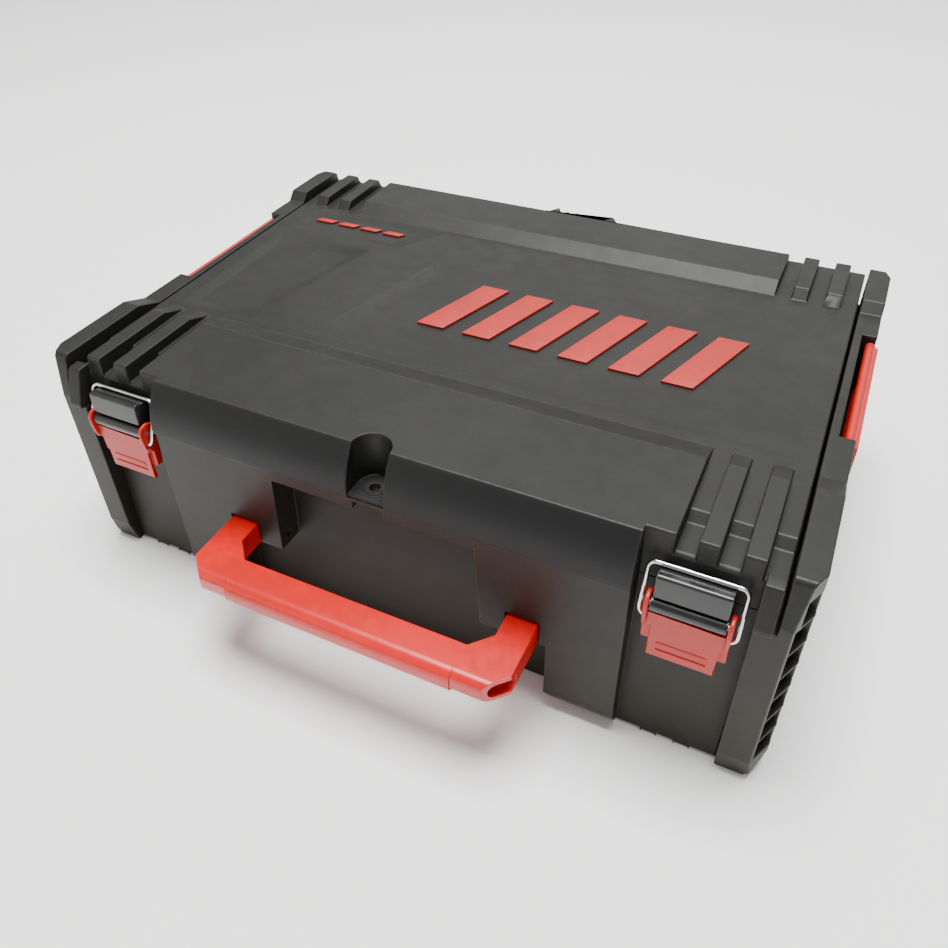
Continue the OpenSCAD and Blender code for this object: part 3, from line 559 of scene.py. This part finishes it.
bails = bailTree(chrome, bailLook)
for side, name in ((-1, "bail_left"), (1, "bail_right")):
    points = bailPath(side, bailLook)
    mesh = bpy.data.meshes.new(name + "_path")
    mesh.from_pydata(points, [(i, i + 1) for i in range(len(points) - 1)], [])
    values = {"Wire": bailLook["wire"], "Turn": bailLook["turn"]}
    piece = smoothed(grown(name + "_wire", bails, values, mesh), smallPartAngle)
    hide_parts(name)
    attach(piece, name)
print("stage: bails bent")


# Slanted inlays of the lid.

def barTree(material):
    tree, start, named = newTree("barRow", {
        "Count": "NodeSocketInt", "Step": "NodeSocketVector", "Size": "NodeSocketVector",
        "Slant": "NodeSocketFloat", "Start": "NodeSocketVector"})
    row = start.node("GeometryNodeMeshLine", None,
                     {"Count": named["Count"], "Start Location": named["Start"], "Offset": named["Step"]})
    bar = start.node("GeometryNodeMeshCube", None, {"Size": named["Size"]})
    place = start.node("GeometryNodeInputPosition")
    across = start.node("ShaderNodeSeparateXYZ", None, {0: place}, 1)
    lean = start.node("ShaderNodeCombineXYZ", None, {0: across * named["Slant"]})
    leaning = start.node("GeometryNodeSetPosition", None, {"Geometry": bar, "Offset": lean})
    placed = start.node("GeometryNodeInstanceOnPoints", None, {"Points": row, "Instance": leaning})
    endTree(tree, placed, material)
    return tree


def roundedBar(name, tree, values, radius):
    piece = grown(name, tree, values)
    rounding = piece.modifiers.new("round", "BEVEL")
    rounding.width = radius
    rounding.segments = meshLook["segments"]
    return smoothed(settled(piece), smallPartAngle)


inlayLook = {"round": 0.0005, "slant": {"lid_stripes": 1 / 3, "lid_dashes": 0.8}}
bars = barTree(inlayRed)
for node in ("lid_stripes", "lid_dashes"):
    parts = sorted(islands(node), key=lambda part: part[0].x)
    low, high = parts[0]
    pitch = parts[1][0].x - low.x
    deep = high.y - low.y
    slant = inlayLook["slant"][node]
    wide = high.x - low.x - slant * deep
    values = {"Count": len(parts), "Step": (pitch, 0.0, 0.0), "Size": (wide, deep, high.z - low.z),
              "Slant": slant, "Start": tuple((low + high) / 2)}
    piece = roundedBar(node + "_inlaid", bars, values, inlayLook["round"])
    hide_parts(node)
    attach(piece, "lid")
print("stage: inlays set")


# Grip lines on the levers.

gripLook = {
    "x": 0.1844, "y": -0.17355, "width": 0.0265, "proud": 0.0005, "deep": 0.0016, "round": 0.0005,
    "lines": [(0.0950, 0.0036), (0.0903, 0.0012)],  # height of the middle, height of the line
}
leverBars = barTree(leverRed)
for side, lever in ((-1, "lever_left"), (1, "lever_right")):
    for number, (z, tall) in enumerate(gripLook["lines"]):
        size = (gripLook["width"], gripLook["deep"], tall)
        depth = gripLook["y"] - gripLook["proud"] + gripLook["deep"] / 2
        values = {"Count": 1, "Step": (0.0, 0.0, 0.0), "Size": size, "Slant": 0.0,
                  "Start": (side * gripLook["x"], depth, z)}
        radius = min(gripLook["round"], tall * 0.4)
        piece = roundedBar(f"{lever}_grip_line_{number + 1}", leverBars, values, radius)
        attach(piece, lever)
print("stage: grip lines set")


# The CAD pins stay as they are and get their metal.

for kind in ("hinge", "handle", "stack", "latch"):
    for side in ("left", "right"):
        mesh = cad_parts[f"{kind}_pin_{side}"].data
        mesh.materials.clear()
        mesh.materials.append(zinc)
print("stage: pins dressed")


# Floor, light and camera.

floorLook = {"half": 6, "dark": (0.94, 0.94, 0.935, 1), "light": (0.965, 0.965, 0.96, 1), "cloud": 3}


def makeFloor(look):
    half = look["half"]
    mesh = bpy.data.meshes.new("floor")
    mesh.from_pydata([(-half, -half, 0), (half, -half, 0), (half, half, 0), (-half, half, 0)], [],
                     [(0, 1, 2, 3)])
    floor = newObject("floor", mesh)
    material, start, shader = newMaterial("floor_paper", {"Specular IOR Level": 0.2})
    place = start.node("ShaderNodeTexCoord", None, None, "Object")
    soft = noise(start, place, look["cloud"], 3)
    feed(shader, "Base Color", soft.mix(look["dark"], look["light"]))
    feed(shader, "Roughness", soft * 0.1 + 0.6)
    mesh.materials.append(material)


lampLook = {
    # name: place, aimed at, width, height, watts, colour
    "rearSoftbox": ((-0.4, 2.6, 1.9), (0, 0, 0.1), 3.0, 1.8, 24, (1.0, 1.0, 0.98)),
    "topSoftbox": ((0.0, 0.1, 2.8), (0, 0, 0.1), 1.6, 1.4, 190, (1.0, 1.0, 0.99)),
    "frontFill": ((-1.8, -2.2, 1.3), (0, 0, 0.08), 2.0, 1.4, 12, (1.0, 0.92, 0.80)),
}
worldLook = {"colour": (1, 1, 1, 1), "strength": 0.5}


def makeLamps(look):
    for name, (place, target, wide, tall, watts, colour) in look.items():
        light = bpy.data.lights.new(name, "AREA")
        light.shape = "RECTANGLE"
        light.size = wide
        light.size_y = tall
        light.energy = watts
        light.color = colour
        lamp = bpy.data.objects.new(name, light)
        bpy.context.scene.collection.objects.link(lamp)
        lamp.location = place
        lamp.rotation_euler = (Vector(target) - Vector(place)).to_track_quat("-Z", "Y").to_euler()
    world = bpy.data.worlds.new("studio")
    world.use_nodes = True
    background = world.node_tree.nodes["Background"]
    background.inputs[0].default_value = worldLook["colour"]
    background.inputs[1].default_value = worldLook["strength"]
    bpy.context.scene.world = world


cameraLook = {"place": (0.21169, -0.46674, 0.46461), "yaw": -26.7488, "pitch": 38.6307, "roll": 1.5706,
              "lens": 32.92, "shiftX": 0.0097, "shiftY": -0.0477}


def makeCamera(look):
    yaw, pitch, roll = (math.radians(look[key]) for key in ("yaw", "pitch", "roll"))
    forward = Vector((math.sin(yaw) * math.cos(pitch), math.cos(yaw) * math.cos(pitch), -math.sin(pitch)))
    level = Vector((math.cos(yaw), -math.sin(yaw), 0))
    down = forward.cross(level)
    right = math.cos(roll) * level + math.sin(roll) * down
    below = -math.sin(roll) * level + math.cos(roll) * down
    data = bpy.data.cameras.new("camera")
    data.lens = look["lens"]
    data.sensor_width = 36
    data.sensor_fit = "HORIZONTAL"
    data.shift_x = look["shiftX"]
    data.shift_y = look["shiftY"]
    data.clip_start = 0.01
    camera = bpy.data.objects.new("camera", data)
    bpy.context.scene.collection.objects.link(camera)
    turn = Matrix((right, -below, -forward)).transposed().to_4x4()
    camera.matrix_world = Matrix.Translation(look["place"]) @ turn
    bpy.context.scene.camera = camera


makeFloor(floorLook)
makeLamps(lampLook)
makeCamera(cameraLook)
print("stage: floor, light and camera set")
